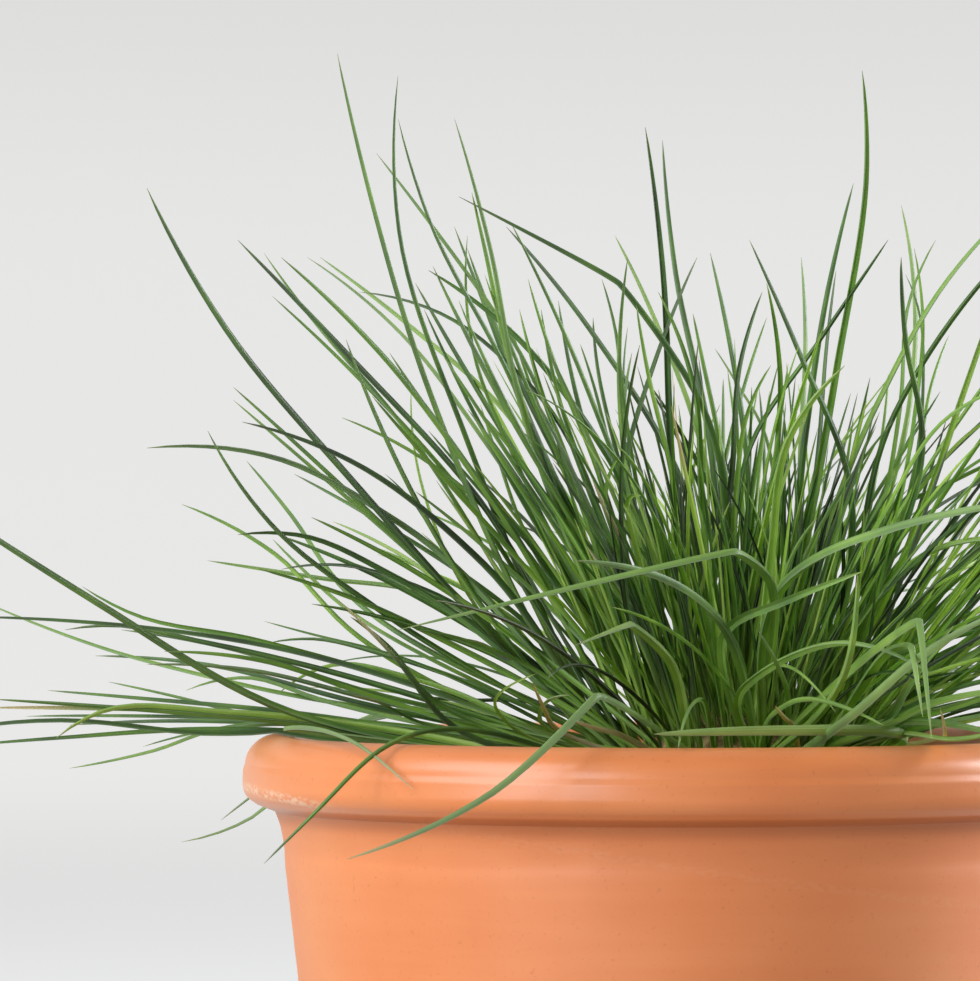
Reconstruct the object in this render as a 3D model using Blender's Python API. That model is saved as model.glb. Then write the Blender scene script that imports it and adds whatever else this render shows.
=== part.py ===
"""A clump of blue fescue grass in a terracotta pot.

The pot stands on the origin, +Z up. Its front, where the clump's crown sits a little to the right
of the pot's axis, faces -Y. The clump is a ring-planted dome of tufts: every tuft is one solid, a
bundle of sheaths whose top opens into one folded, tapering leaf for each of its sectors.
"""

import math

import bmesh
import bpy
import numpy as np
from mathutils import Vector

# Driving dimensions in metres
MM = 0.001
TOUCHING_GAP = 0.0003

POT_HEIGHT = 0.175
RIM_RADIUS = 0.100
RIM_ROLL = 0.009
RIM_BULGE_DROP = 0.012
RIM_FOOT_DROP = 0.0177
NECK_RADIUS = 0.0921
NECK_ROUND = 0.002
SHOULDER_DROP = 0.0293
SHOULDER_RADIUS = 0.0903
FOOT_RADIUS = 0.0735
FOOT_BEVEL = 0.002
WALL = 0.0075
LIP_ROLL = 0.0055
FLOOR = 0.010
DRAIN_RADIUS = 0.011
POT_SIDES = 44
POT_CREASE = 40
TERRACOTTA_COLOUR = (0.78, 0.33, 0.14)

SOIL_TOP = POT_HEIGHT - 0.015
SOIL_SIDES = 40
SOIL_MOUND = 0.003
SOIL_FLAT_RADIUS = 0.055
SOIL_SHRINK = 0.0005
COMPOST_COLOUR = (0.045, 0.03, 0.02)

CROWN_OFFSET = 0.015
CROWN_RADIUS = 0.027
CROWN_SUNK = 0.006
CROWN_CENTRE = Vector((CROWN_OFFSET, 0.0, SOIL_TOP - CROWN_SUNK))
CROWN_CREASE = 60
SHEATH_COLOUR = (0.42, 0.33, 0.16)

TUFT_RADIUS = 0.0044
TUFT_LENGTH = 0.008
TUFT_FOOT = 0.9
LEAVES_IN_A_TUFT = 9
LEAF_COLOUR = (0.12, 0.18, 0.07)
LEAF_CREASE = 50
# The rings of tufts on the crown: how many, and how high the ring faces above the horizon, in degrees
TUFT_RINGS = ((1, 90.0), (6, 69.0), (11, 48.0), (15, 27.0))
LEAF_SPREAD = 0.30
# A leaf's section along its length, as a share of its sector of the tuft
LEAF_SECTIONS = (0.50, 0.43, 0.30)
LEAF_HALF_WIDTH = 0.00125
LEAF_STRETCHES = len(LEAF_SECTIONS) + 1
# How far a leaf's shoulder keeps to the direction in which the leaf leaves its tuft
LAUNCH_SHARE = 0.55
# The share of a leaf's first stretch that may touch its neighbours, where it rises from the tuft
IN_THE_TUFT = 0.35

# The leaves that draw the clump's outline, as the photograph shows them, in millimetres from the
# pot's axis and its foot: the tip's place to the right, behind and up, and how far the leaf arches
# over on its way, as a share of its length
OUTLINE_LEAVES = (
    (-78, 12, 331, 0.10),
    (-64, -10, 326, 0.08),
    (-51, 22, 316, 0.10),
    (-70, -22, 307, 0.10),
    (-122, 6, 300, 0.10),
    (-101, -18, 288, 0.12),
    (-91, 30, 284, 0.10),
    (-76, -35, 265, 0.14),
    (-102, 42, 255, 0.16),
    (-108, -8, 244, 0.16),
    (-122, 20, 240, 0.24),
    (-172, -6, 222, 0.20),
    (-137, 34, 209, 0.20),
    (-114, -44, 228, 0.20),
    (-176, 22, 206, 0.24),
    (-142, -38, 198, 0.22),
    (-145, 58, 186, 0.26),
    (-190, 4, 180, 0.26),
    (-143, -14, 176, 0.24),
    (-158, -62, 190, 0.30),
    (-116, -24, 151, 0.60),
    (-105, 60, 158, 0.34),
    (-93, -64, 148, 0.66),
    (-61, -92, 163, 0.32),
    (-76, -112, 178, 0.30),
    (43, 14, 327, 0.08),
    (41, -16, 302, 0.08),
    (-7, 6, 315, 0.06),
    (-2, -20, 311, 0.08),
    (50, 24, 289, 0.10),
    (53, -30, 296, 0.10),
    (62, 4, 288, 0.12),
    (85, 10, 289, 0.12),
    (104, -14, 284, 0.12),
    (64, -44, 266, 0.14),
    (61, 40, 254, 0.14),
    (17, -26, 289, 0.08),
    (30, 36, 285, 0.08),
    (-16, 34, 280, 0.08),
    (-14, -38, 290, 0.10),
    (-39, -28, 292, 0.10),
    (-33, 46, 280, 0.10),
    (-22, -52, 265, 0.14),
    (-23, -122, 214, 0.26),
    (-44, -134, 198, 0.28),
    (44, -124, 212, 0.26),
    (58, -96, 174, 0.32),
    (12, -140, 190, 0.28),
    (152, -40, 232, 0.20),
    (168, 20, 214, 0.22),
    (146, 62, 196, 0.24),
    (190, -4, 184, 0.26),
    (158, -70, 182, 0.28),
    (116, -28, 152, 0.50),
    (124, 26, 164, 0.32),
    (130, 30, 262, 0.14),
    (-20, -180, 190, 0.28),
    (20, 180, 192, 0.28),
    (70, 158, 204, 0.24),
    (-64, 150, 214, 0.22),
    (-100, 118, 178, 0.28),
    (92, 96, 152, 0.34),
    (4, 118, 156, 0.34),
    (-48, 96, 262, 0.14),
    (34, 104, 254, 0.14),
    (90, 74, 250, 0.14),
)

# The leaves between them: their length and how far they arch, from the middle of the clump to its edge
FILL_LENGTH = (0.100, 0.160)
FILL_ARCH_MIDDLE = 0.07
FILL_ARCH_EDGE = 0.26
FILL_REACH = 0.172
FILL_TRIES = 80
FILL_SHORTEST = 0.5
FILL_ARCH_VARIES = (0.6, 1.4)
FILL_SIDEWAYS = 0.10
FILL_DROOP = 1.6
# An outline leaf is tried from this many of the sectors that face its tip best, lifted by its arch,
# and with its tip moved forward or back where another leaf is in the way
SECTORS_TRIED = 10
LIFT_BY_ARCH = 1.5
TIP_MOVES = (0, 3, -3, 6, -6, 9, -9)
LINE_POINTS = 9
PLANTING_SEED = 27

UP = np.array((0.0, 0.0, 1.0))


def clear_the_scene():
    for thing in list(bpy.data.objects):
        bpy.data.objects.remove(thing)


def finish(name, colour, roughness):
    """A non-metallic material of this colour and roughness."""
    made = bpy.data.materials.new(name)
    made.use_nodes = True
    shader = made.node_tree.nodes["Principled BSDF"]
    shader.inputs["Base Color"].default_value = (*colour, 1.0)
    shader.inputs["Roughness"].default_value = roughness
    shader.inputs["Metallic"].default_value = 0.0
    return made


def place(name, shape, material, crease):
    """Puts a bmesh into the scene as one named object, smooth up to its crease angle in degrees."""
    bmesh.ops.recalc_face_normals(shape, faces=shape.faces)
    mesh = bpy.data.meshes.new(name)
    shape.to_mesh(mesh)
    shape.free()
    mesh.shade_smooth()
    mesh.set_sharp_from_angle(angle=math.radians(crease))
    mesh.materials.append(material)
    made = bpy.data.objects.new(name, mesh)
    bpy.context.scene.collection.objects.link(made)
    return made


def turned(profile, sides):
    """A run of (radius, height) points carried round the Z axis.

    A run that begins and ends on the axis is closed there, and any other is joined end to start.
    """
    shape = bmesh.new()
    corners = [shape.verts.new((radius, 0.0, height)) for radius, height in profile]
    on_the_axis = profile[0][0] == 0.0
    ring = corners if on_the_axis else corners + corners[:1]
    edges = [shape.edges.new(pair) for pair in zip(ring, ring[1:])]
    bmesh.ops.spin(
        shape,
        geom=corners + edges,
        axis=(0, 0, 1),
        cent=(0, 0, 0),
        angle=2 * math.pi,
        steps=sides,
        use_merge=True,
    )
    if on_the_axis:
        bmesh.ops.remove_doubles(shape, verts=shape.verts, dist=0.00001)
    return shape


def arc(centre, radii, start, end, steps):
    """Points of an ellipse's arc in the (radius, height) plane, angles in degrees."""
    angles = np.radians(np.linspace(start, end, steps + 1))
    return [
        (centre[0] + radii[0] * math.cos(angle), centre[1] + radii[1] * math.sin(angle))
        for angle in angles
    ]


def outer_wall(height):
    """The straight taper's outer radius at a height, from the foot to the shoulder."""
    rise = height / (POT_HEIGHT - SHOULDER_DROP)
    return FOOT_RADIUS + (SHOULDER_RADIUS - FOOT_RADIUS) * rise


def terracotta_pot():
    """The pot's wall, turned in one: drainage hole, foot, taper, neck, rolled rim, lip, inside."""
    top = POT_HEIGHT
    outer_roll = RIM_RADIUS - RIM_ROLL
    inner_neck = NECK_RADIUS - WALL
    profile = [
        (DRAIN_RADIUS, 0.0),
        (FOOT_RADIUS - FOOT_BEVEL, 0.0),
        (FOOT_RADIUS, FOOT_BEVEL),
        (SHOULDER_RADIUS, top - SHOULDER_DROP),
        (NECK_RADIUS, top - RIM_FOOT_DROP - NECK_ROUND),
    ]
    # The rim's underside is the rounder half of its roll, its top a quarter circle
    profile += arc(
        (NECK_RADIUS, top - RIM_BULGE_DROP),
        (RIM_RADIUS - NECK_RADIUS, RIM_FOOT_DROP - RIM_BULGE_DROP),
        -75,
        0,
        3,
    )
    profile += arc((outer_roll, top - RIM_ROLL), (RIM_ROLL, RIM_ROLL), 0, 90, 5)
    profile += arc((inner_neck + LIP_ROLL, top - LIP_ROLL), (LIP_ROLL, LIP_ROLL), 90, 180, 2)
    profile += [
        (inner_neck, top - RIM_FOOT_DROP),
        (outer_wall(FLOOR) - WALL, FLOOR),
        (DRAIN_RADIUS, FLOOR),
    ]
    shape = turned(profile, POT_SIDES)
    return place("terracotta_pot", shape, finish("terracotta", TERRACOTTA_COLOUR, 0.5), POT_CREASE)


def potting_soil():
    """The compost, a plug that follows the pot's inside and rises a little to the middle."""
    # The pot's faceted wall comes closer to the axis than its corners do
    facet = math.cos(math.pi / SOIL_SIDES)
    foot = (outer_wall(FLOOR) - WALL - TOUCHING_GAP) * facet
    brim = (NECK_RADIUS - WALL - SOIL_SHRINK) * facet
    profile = [
        (0.0, FLOOR + TOUCHING_GAP),
        (foot, FLOOR + TOUCHING_GAP),
        (brim, SOIL_TOP - SOIL_MOUND),
        (SOIL_FLAT_RADIUS, SOIL_TOP),
        (0.0, SOIL_TOP),
    ]
    shape = turned(profile, SOIL_SIDES)
    return place("potting_soil", shape, finish("compost", COMPOST_COLOUR, 0.95), POT_CREASE)


def crown():
    """The dome of packed shoot bases, cut off flat where it meets the soil."""
    shape = bmesh.new()
    bmesh.ops.create_icosphere(shape, subdivisions=3, radius=CROWN_RADIUS)
    bmesh.ops.translate(shape, verts=shape.verts, vec=CROWN_CENTRE)
    cut = bmesh.ops.bisect_plane(
        shape,
        geom=shape.verts[:] + shape.edges[:] + shape.faces[:],
        plane_co=(0, 0, SOIL_TOP + TOUCHING_GAP),
        plane_no=(0, 0, 1),
        clear_inner=True,
    )
    rim = [part for part in cut["geom_cut"] if isinstance(part, bmesh.types.BMEdge)]
    bmesh.ops.contextual_create(shape, geom=rim)
    return place("crown", shape, finish("dry_sheath", SHEATH_COLOUR, 0.8), CROWN_CREASE)


def tuft_axes():
    """The direction of every tuft, ring by ring, each ring turned half a step from the last."""
    axes = []
    for ring, (count, rise) in enumerate(TUFT_RINGS):
        for place_in_ring in range(count):
            heading = 2 * math.pi * (place_in_ring + 0.5 * ring) / count
            flat = math.cos(math.radians(rise))
            axes.append(
                Vector(
                    (
                        flat * math.cos(heading),
                        flat * math.sin(heading),
                        math.sin(math.radians(rise)),
                    )
                )
            )
    return axes


class Tuft:
    """A bundle of sheaths on the crown, with a root and a launch direction for each leaf."""

    def __init__(self, axis):
        self.axis = axis
        self.base = CROWN_CENTRE + axis * (CROWN_RADIUS + TOUCHING_GAP)
        side = axis.orthogonal().normalized()
        across = axis.cross(side)
        turns = [2 * math.pi * i / LEAVES_IN_A_TUFT for i in range(LEAVES_IN_A_TUFT)]
        self.spokes = [side * math.cos(turn) + across * math.sin(turn) for turn in turns]
        self.top = self.base + axis * TUFT_LENGTH
        self.roots = []
        self.launches = []
        for first, second in zip(self.spokes, self.spokes[1:] + self.spokes[:1]):
            # The sector is a triangle from the axis, so its centroid is two thirds of the way out
            centroid = (first + second) * (TUFT_RADIUS / 3)
            self.roots.append(np.array(self.top + centroid))
            middle = (first + second).normalized()
            launch = (axis + middle * (LEAF_SPREAD * 2 / 3)).normalized()
            self.launches.append(np.array(launch))
        self.leaves = [None] * LEAVES_IN_A_TUFT


def leaf_line(root, launch, tip, arch):
    """The leaf's stretches from root to tip, on a curve that leaves along its launch direction.

    The curve is a quadratic Bezier whose shoulder lies ahead of the root, lifted by the arch.
    """
    length = np.linalg.norm(tip - root)
    straight = root + (tip - root) / 2
    ahead = root + launch * length / 2
    shoulder = LAUNCH_SHARE * ahead + (1 - LAUNCH_SHARE) * straight + UP * arch * length
    share = np.linspace(0.0, 1.0, LEAF_STRETCHES + 1)[:, None]
    return (1 - share) ** 2 * root + 2 * share * (1 - share) * shoulder + share**2 * tip


def closest(starts_a, ends_a, starts_b, ends_b):
    """The shortest distance between each straight stretch of one leaf and each of many others.

    Each pair's two nearest points are found on the endless lines and then held to the stretches.
    """
    along_a = (ends_a - starts_a)[:, None]
    along_b = (ends_b - starts_b)[None]
    apart = starts_a[:, None] - starts_b[None]
    aa = (along_a**2).sum(-1)
    bb = (along_b**2).sum(-1)
    ab = (along_a * along_b).sum(-1)
    a_apart = (along_a * apart).sum(-1)
    b_apart = (along_b * apart).sum(-1)
    # Parallel stretches have no crossing, so the divisor is kept off nought
    crossing = np.maximum(aa * bb - ab**2, 1e-18)
    at_a = np.clip((ab * b_apart - a_apart * bb) / crossing, 0, 1)
    at_b = np.clip((ab * at_a + b_apart) / bb, 0, 1)
    at_a = np.clip((ab * at_b - a_apart) / aa, 0, 1)
    gap = apart + along_a * at_a[..., None] - along_b * at_b[..., None]
    return np.sqrt((gap**2).sum(-1)).min()


def clear_of_pot_and_soil(line):
    """Whether a leaf stays above the soil and off the rolled rim, the wall and the ground."""
    shares = np.linspace(0, 1, LINE_POINTS)[:, None, None]
    points = (line[:-1] + shares * (line[1:] - line[:-1])).reshape(-1, 3)
    radius = np.hypot(points[:, 0], points[:, 1])
    height = points[:, 2]
    margin = LEAF_HALF_WIDTH + 2 * TOUCHING_GAP
    roll = np.hypot(radius - (RIM_RADIUS - RIM_ROLL), height - (POT_HEIGHT - RIM_ROLL))
    off_roll = roll > RIM_ROLL + margin
    below_rim = height < POT_HEIGHT + margin
    over_wall = (radius > NECK_RADIUS - WALL - margin) & (radius < RIM_RADIUS + margin)
    above_soil = (radius > RIM_RADIUS) | (height > SOIL_TOP + margin)
    return bool((off_roll & ~(below_rim & over_wall) & above_soil).all())


class Planting:
    """Grows the leaves one after another, each clear of all that stand already."""

    def __init__(self, tufts):
        self.tufts = tufts
        self.starts = np.zeros((0, 3))
        self.ends = np.zeros((0, 3))
        self.chance = np.random.default_rng(PLANTING_SEED)

    def grow(self, tuft, sector, tip, arch):
        """Adds the leaf if nothing is in its way, and says whether it did."""
        line = leaf_line(tuft.roots[sector], tuft.launches[sector], tip, arch)
        if not clear_of_pot_and_soil(line):
            return False
        # The first stretch rises out of its own sector of the tuft, so it is tested past its foot
        starts = line[:-1].copy()
        starts[0] = line[0] + (line[1] - line[0]) * IN_THE_TUFT
        if len(self.starts):
            gap = closest(starts, line[1:], self.starts, self.ends)
            if gap < 2 * LEAF_HALF_WIDTH + TOUCHING_GAP:
                return False
        self.starts = np.vstack([self.starts, starts])
        self.ends = np.vstack([self.ends, line[1:]])
        tuft.leaves[sector] = line
        return True

    def grow_to(self, tip, arch):
        """Grows a leaf to this tip from the free sector that faces it best."""
        towards = tip - np.array(CROWN_CENTRE)
        towards = towards / np.linalg.norm(towards) + UP * (arch * LIFT_BY_ARCH)
        towards = towards / np.linalg.norm(towards)
        free = [
            (-float(tuft.launches[sector] @ towards), i, sector)
            for i, tuft in enumerate(self.tufts)
            for sector in range(LEAVES_IN_A_TUFT)
            if tuft.leaves[sector] is None
        ]
        for _, i, sector in sorted(free)[:SECTORS_TRIED]:
            for behind in TIP_MOVES:
                aim = tip + np.array((0, behind * MM, 0))
                if self.grow(self.tufts[i], sector, aim, arch):
                    return True
        return False

    def fill(self, tuft, sector):
        """Grows a leaf of chance length in the way its sector faces, if there is room for one."""
        launch = tuft.launches[sector]
        rise = max(0.0, launch[2])
        for attempt in range(FILL_TRIES):
            shorter = 1 - FILL_SHORTEST * attempt / FILL_TRIES
            length = self.chance.uniform(*FILL_LENGTH) * shorter
            arch = FILL_ARCH_EDGE + (FILL_ARCH_MIDDLE - FILL_ARCH_EDGE) * rise
            arch *= self.chance.uniform(*FILL_ARCH_VARIES)
            sideways = self.chance.normal(0, FILL_SIDEWAYS, 3)
            aim = launch + sideways - UP * arch * FILL_DROOP
            tip = tuft.roots[sector] + length * aim / np.linalg.norm(aim)
            within = max(abs(tip[0]), abs(tip[1])) < FILL_REACH
            if within and self.grow(tuft, sector, tip, arch):
                return


def turn_between(old, new):
    """The least rotation that carries one direction on to another."""
    return Vector(old).rotation_difference(Vector(new)).to_matrix()


def leaf_tuft(name, tuft, material):
    """One tuft: a prism of sheaths, and a leaf drawn out of each sector of its top."""
    shape = bmesh.new()
    foot = [shape.verts.new(tuft.base + spoke * TUFT_RADIUS * TUFT_FOOT) for spoke in tuft.spokes]
    top = [shape.verts.new(tuft.top + spoke * TUFT_RADIUS) for spoke in tuft.spokes]
    heart = shape.verts.new(tuft.top)
    shape.faces.new(list(reversed(foot)))
    sectors = []
    for i, j in zip(range(LEAVES_IN_A_TUFT), list(range(1, LEAVES_IN_A_TUFT)) + [0]):
        shape.faces.new((foot[i], foot[j], top[j], top[i]))
        sectors.append(shape.faces.new((top[i], top[j], heart)))
    for face, line in zip(sectors, tuft.leaves):
        if line is not None:
            draw_out(shape, face, tuft.axis, line)
    return place(name, shape, material, LEAF_CREASE)


def draw_out(shape, face, axis, line):
    """Extrudes a sector along the leaf's line, its section turned with the line, to a point."""
    centroid = face.calc_center_median()
    section = [corner.co - centroid for corner in face.verts]
    old = axis
    for step, size in enumerate((*LEAF_SECTIONS, 0.0), start=1):
        if step < LEAF_STRETCHES:
            new = line[step + 1] - line[step - 1]
            turn = turn_between(old, new)
            section = [turn @ corner for corner in section]
            old = Vector(new)
        face = bmesh.ops.extrude_discrete_faces(shape, faces=[face])["faces"][0]
        middle = Vector(line[step])
        for vert, corner in zip(face.verts, section):
            vert.co = middle + corner * size
    bmesh.ops.pointmerge(shape, verts=face.verts[:], merge_co=Vector(line[-1]))


def build():
    clear_the_scene()
    terracotta_pot()
    potting_soil()
    crown()
    tufts = [Tuft(axis) for axis in tuft_axes()]
    planting = Planting(tufts)
    for right, behind, height, arch in OUTLINE_LEAVES:
        if not planting.grow_to(np.array((right, behind, height)) * MM, arch):
            print("no room for the leaf to", right, behind, height)
    for tuft in tufts:
        for sector in range(LEAVES_IN_A_TUFT):
            if tuft.leaves[sector] is None:
                planting.fill(tuft, sector)
    leaf = finish("fescue_leaf", LEAF_COLOUR, 0.55)
    for number, tuft in enumerate(tufts, start=1):
        leaf_tuft(f"leaf_tuft_{number:02d}", tuft, leaf)
    print("leaves:", sum(line is not None for tuft in tufts for line in tuft.leaves))


build()
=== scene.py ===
"""The looks of a clump of blue fescue in its terracotta pot.

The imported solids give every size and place. Each of them is stood for here by a fine surface worked
out with numpy: the turned pot, the compost, the crown, and for every leaf tuft its many folded leaves.
"""

import bmesh
import bpy
import numpy as np
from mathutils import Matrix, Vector


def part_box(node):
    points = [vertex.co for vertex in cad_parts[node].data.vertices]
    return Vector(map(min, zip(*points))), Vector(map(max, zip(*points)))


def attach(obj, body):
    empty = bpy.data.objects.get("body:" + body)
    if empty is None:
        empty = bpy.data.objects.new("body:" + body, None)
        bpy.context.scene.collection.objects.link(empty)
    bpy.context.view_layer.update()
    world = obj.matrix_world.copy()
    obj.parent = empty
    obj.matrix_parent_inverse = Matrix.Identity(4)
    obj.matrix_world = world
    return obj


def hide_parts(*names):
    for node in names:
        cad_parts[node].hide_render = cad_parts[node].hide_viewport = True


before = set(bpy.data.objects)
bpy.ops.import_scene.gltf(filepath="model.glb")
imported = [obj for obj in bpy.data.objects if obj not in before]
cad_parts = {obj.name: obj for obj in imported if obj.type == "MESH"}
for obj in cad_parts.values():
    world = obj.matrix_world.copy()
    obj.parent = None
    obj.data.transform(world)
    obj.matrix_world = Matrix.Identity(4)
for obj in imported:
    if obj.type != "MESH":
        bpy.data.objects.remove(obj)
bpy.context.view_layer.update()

# The terracotta pot: one piece of earthenware, turned in a mould, fired and left unglazed, with a
# rolled rim that is a little thicker than the wall, a soft neck under it and a hole in the foot.
MM = 0.001
_, pot_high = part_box("terracotta_pot")
RIM_TOP = pot_high.z
RIM_RADIUS = pot_high.x
RIM_SHOULDER = (7.4 * MM, 7.0 * MM)
RIM_STEP = 0.55 * MM
RIM_BAND_DROP = 8.0 * MM
RIM_HEEL = (2.6 * MM, 3.9 * MM)
RIM_HEEL_DROP = 11.2 * MM
RIM_UNDERSIDE = [(RIM_RADIUS - 5.0 * MM, RIM_TOP - 16.6 * MM), (RIM_RADIUS - 3.0 * MM, RIM_TOP - 15.8 * MM)]
RIM_FOOT_DROP = 17.5 * MM
NECK_RADIUS = RIM_RADIUS - 7.4 * MM
NECK_CURVE = 2.2
SHOULDER_DROP = 29.3 * MM
SHOULDER_RADIUS = RIM_RADIUS - 9.7 * MM
FOOT_RADIUS = RIM_RADIUS - 26.5 * MM
FOOT_ROUND = 2.0 * MM
WALL = 7.5 * MM
LIP_ROLL = 5.5 * MM
FLOOR = 10.0 * MM
DRAIN_RADIUS = 11.0 * MM
TURNS_OF_THE_WHEEL = 288
OUTSIDE_POINTS = 80
RIM_POINTS = 120
INSIDE_POINTS = 60
OUT_OF_ROUND = 0.10 * MM
RING_DEPTH = 0.03 * MM
RING_SPACING = 6.5 * MM
INSIDE_THE_SOLID = 0.14 * MM
FOOT_KEPT_FLAT = 4 * MM

CLAY = [(0.34, "#e3834c"), (0.5, "#e88b54"), (0.68, "#eb945d")]
CLAY_SPECK = "#b4602f"
LIME_BLOOM = "#f4cfae"
LIME_DROP = 11.2 * MM
LIME_SLOPE = 0.15
# The groove's darker, redder colour is painted shade under the rim's overhang
GROOVE_SHADE = "#a95f38"
SOFT_ENDS = {"interpolation_type": "SMOOTHSTEP"}


def linear(colour):
    """An sRGB hex colour as linear red, green, blue and a full alpha."""
    parts = np.array([int(colour[i : i + 2], 16) for i in (1, 3, 5)]) / 255
    low = parts / 12.92
    high = ((parts + 0.055) / 1.055) ** 2.4
    return (*np.where(parts <= 0.04045, low, high).tolist(), 1.0)


def wire(tree, node, inputs):
    """Gives each input its value, or links it to a socket or to the first output that a node uses."""
    for name, value in inputs.items():
        if isinstance(value, bpy.types.Node):
            value = next(output for output in value.outputs if output.enabled)
        if isinstance(value, bpy.types.NodeSocket):
            tree.links.new(value, node.inputs[name])
        else:
            node.inputs[name].default_value = value


def add_node(tree, kind, inputs=None, stops=(), **settings):
    """Adds a node with its inputs and settings; a ramp's stops are (place, hex colour) pairs."""
    made = tree.nodes.new("ShaderNode" + kind)
    for name, value in settings.items():
        setattr(made, name, value)
    for number, (place, colour) in enumerate(stops):
        if number == len(made.color_ramp.elements):
            made.color_ramp.elements.new(1.0)
        made.color_ramp.elements[number].position = place
        made.color_ramp.elements[number].color = linear(colour)
    wire(tree, made, inputs or {})
    return made


def per_metre(size_mm):
    """The scale of a pattern whose features are this many millimetres apart."""
    return 1000.0 / size_mm


def new_material(name):
    """An empty Principled material: its node tree, its shader and the object's own coordinates."""
    made = bpy.data.materials.new(name)
    made.use_nodes = True
    tree = made.node_tree
    coordinates = add_node(tree, "TexCoord").outputs["Object"]
    return made, tree, tree.nodes["Principled BSDF"], coordinates


def surface(name, points, faces, material):
    """One smooth-shaded mesh object of these corners and faces, at the origin."""
    mesh = bpy.data.meshes.new(name)
    mesh.from_pydata(points.reshape(-1, 3).tolist(), [], faces)
    mesh.shade_smooth()
    mesh.materials.append(material)
    made = bpy.data.objects.new(name, mesh)
    bpy.context.scene.collection.objects.link(made)
    return made


def stand_for(piece, slot, *nodes):
    """The piece rides with the object's one body, in place of these solids."""
    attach(piece, "root")
    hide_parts(*nodes)


def lumps(points, size, seed, octaves=3):
    """Smooth unevenness from -1 to 1: sine waves of about this size in chance directions, summed.

    Each octave halves the size of the waves and their height.
    """
    chance = np.random.default_rng(seed)
    total = np.zeros(points.shape[:-1])
    for octave in range(octaves):
        for _ in range(6):
            way = chance.normal(size=3)
            way *= 2 * np.pi * 2**octave / (size * np.linalg.norm(way))
            total += np.sin(points @ way + chance.uniform(0, 2 * np.pi)) / (6 * 2**octave) * 1.8
    return total


def arc(middle, radii, start, end, steps):
    """Points of an ellipse's arc as (radius, height), from one angle in degrees to another."""
    angles = np.radians(np.linspace(start, end, steps))
    return np.column_stack(
        [middle[0] + radii[0] * np.cos(angles), middle[1] + radii[1] * np.sin(angles)]
    )


def evenly(outline, count):
    """The same outline with this many points at equal steps along it."""
    steps = np.linalg.norm(np.diff(outline, axis=0), axis=1)
    along = np.concatenate([[0], np.cumsum(steps)])
    places = np.linspace(0, along[-1], count)
    return np.column_stack([np.interp(places, along, outline[:, i]) for i in range(2)])


def turned_grid(outline, turns):
    """The outline, (radius, height) points, carried round the upright axis: a grid of corners."""
    angle = np.linspace(0, 2 * np.pi, turns, endpoint=False)[:, None]
    radius = outline[None, :, 0]
    height = np.broadcast_to(outline[None, :, 1], (turns, len(outline)))
    return np.stack([radius * np.cos(angle), radius * np.sin(angle), height], axis=-1)


def turned_faces(turns, points, closed):
    """The four-cornered faces of a turned grid, facing out.

    A closed outline's last point joins its first, and an open one starts and ends on the axis.
    """
    i, j = np.meshgrid(np.arange(turns), np.arange(points if closed else points - 1), indexing="ij")
    next_i, next_j = (i + 1) % turns, (j + 1) % points
    corners = [i * points + j, next_i * points + j, next_i * points + next_j, i * points + next_j]
    return np.stack(corners, axis=-1).reshape(-1, 4).tolist()


def pot_outline():
    """The wall's section, from the drainage hole out, up the taper, over the rim and back inside.

    The neck draws out as a power of its rise to meet the rim's underside. The rim's outer side is a
    rounded heel, an upright band, and over a small step the quarter of an ellipse.
    """
    taper_top = RIM_TOP - SHOULDER_DROP
    neck_top = RIM_TOP - RIM_FOOT_DROP
    inner_neck = NECK_RADIUS - WALL
    inner_foot = FOOT_RADIUS + FLOOR / taper_top * (SHOULDER_RADIUS - FOOT_RADIUS) - WALL
    rise = np.linspace(0, 1, 12)
    neck = np.column_stack(
        [
            SHOULDER_RADIUS + (NECK_RADIUS - SHOULDER_RADIUS) * rise**NECK_CURVE,
            taper_top + (neck_top - taper_top) * rise,
        ]
    )
    foot = arc((FOOT_RADIUS - FOOT_ROUND, FOOT_ROUND), (FOOT_ROUND, FOOT_ROUND), -90, 0, 8)
    outside = np.vstack([[[DRAIN_RADIUS, 0.0]], foot, neck[:2]])
    heel = (RIM_RADIUS - RIM_HEEL[0], RIM_TOP - RIM_HEEL_DROP)
    band_top = [[RIM_RADIUS, RIM_TOP - RIM_BAND_DROP]]
    shoulder = (RIM_RADIUS - RIM_STEP - RIM_SHOULDER[0], RIM_TOP - RIM_SHOULDER[1])
    rounded = arc(heel, RIM_HEEL, -58, 0, 12)
    rim = np.vstack([neck[1:], RIM_UNDERSIDE, rounded, band_top, arc(shoulder, RIM_SHOULDER, 4, 90, 24)])
    lip = arc((inner_neck + LIP_ROLL, RIM_TOP - LIP_ROLL), (LIP_ROLL, LIP_ROLL), 90, 180, 12)
    down = [[inner_neck, neck_top], [inner_foot, FLOOR], [DRAIN_RADIUS, FLOOR], [DRAIN_RADIUS, 0.0]]
    inside = np.vstack([rim[-1:], lip, down])
    runs = [evenly(outside, OUTSIDE_POINTS), evenly(rim, RIM_POINTS), evenly(inside, INSIDE_POINTS)]
    return np.vstack([run[:-1] for run in runs])


def turned_pot():
    """The pot's grid, a hair out of round and faintly ridged by the turning.

    The radius changes by low waves round the pot and by fine rings up its height, and stays a hair
    inside the solid's.
    """
    grid = turned_grid(pot_outline(), TURNS_OF_THE_WHEEL)
    height = grid[..., 2]
    wave = OUT_OF_ROUND * lumps(grid, 90 * MM, 3, octaves=1)
    wander = 2 * lumps(grid, 60 * MM, 4, octaves=1)
    rings = RING_DEPTH * np.sin(height / RING_SPACING * 2 * np.pi + wander)
    change = (wave + rings - INSIDE_THE_SOLID) * np.clip(height / FOOT_KEPT_FLAT, 0, 1)
    radius = np.maximum(np.hypot(grid[..., 0], grid[..., 1]), MM)
    grid[..., :2] *= (1 + change / radius)[..., None]
    return grid


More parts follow.
